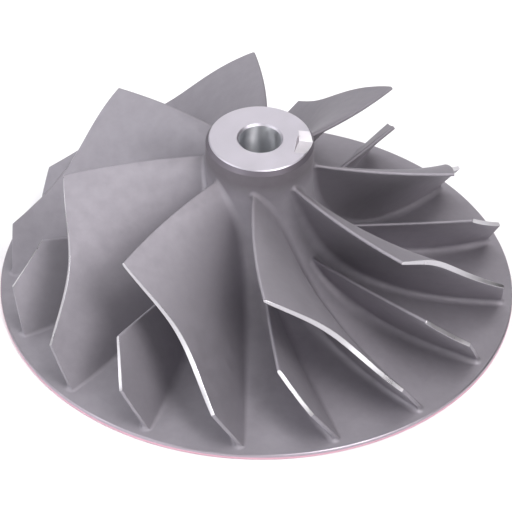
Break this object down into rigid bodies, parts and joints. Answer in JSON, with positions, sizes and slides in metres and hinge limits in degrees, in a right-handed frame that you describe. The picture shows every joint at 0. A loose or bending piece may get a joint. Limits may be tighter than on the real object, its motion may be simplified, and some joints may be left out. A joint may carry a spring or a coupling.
{
  "type": "turbocharger compressor wheel",
  "caption": "Turbocharger compressor wheel cast in one piece from aluminium, with backswept full and splitter blades on a flared hub, a bored nose and a thin back disc.",
  "frame": {"origin": "centre of the back face, on the plane that the wheel stands on", "axes": "+Z along the bore axis, towards the nose; -Y faces the viewer"},
  "size_m": [0.1, 0.1, 0.0386],
  "materials": {
    "casting": "satin cast skin, with the nose, bore and blade tips turned bright"
  },
  "bodies": {
    "root": {"wheel_casting": "casting"}
  },
  "joints": []
}
